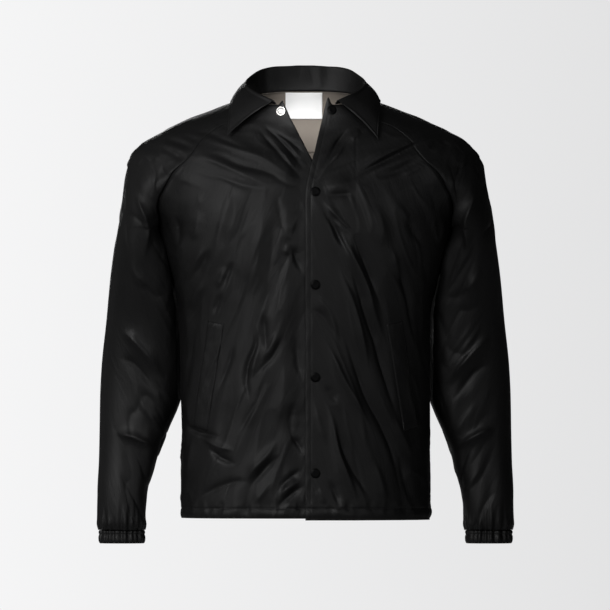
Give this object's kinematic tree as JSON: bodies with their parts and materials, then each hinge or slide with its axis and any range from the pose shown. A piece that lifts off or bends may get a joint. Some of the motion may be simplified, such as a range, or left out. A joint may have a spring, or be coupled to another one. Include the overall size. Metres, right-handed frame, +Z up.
{
  "type": "coach jacket, filled out and hollow",
  "caption": "Hollow coach jacket in black nylon with raglan sleeves, a pointed collar, a snap front undone at the neck, slanted welt pockets and elastic cuffs.",
  "frame": {"origin": "middle of the neck opening, at the height of the highest shoulder point", "axes": "+X towards the wearer's left, -Y the front, +Z up"},
  "size_m": [0.7094, 0.2855, 0.816],
  "materials": {
    "shell": "black nylon taffeta, satin sheen",
    "lining": "warm light grey, matte",
    "label": "white satin, bare",
    "cap": "black, semi-matte",
    "metal": "nickel-coloured"
  },
  "bodies": {
    "root": {"back": "shell", "front_left": "shell", "front_right": "shell", "sleeve_left": "shell", "sleeve_right": "shell", "cuff_left": "shell", "cuff_right": "shell", "collar": "shell", "welt_left": "shell", "welt_right": "shell", "lining_back": "lining", "label": "label", "snap_cap_1": "cap", "snap_cap_2": "cap", "snap_cap_3": "cap", "snap_cap_4": "cap", "snap_cap_neck": "cap", "snap_stud_neck": "metal"}
  },
  "joints": []
}
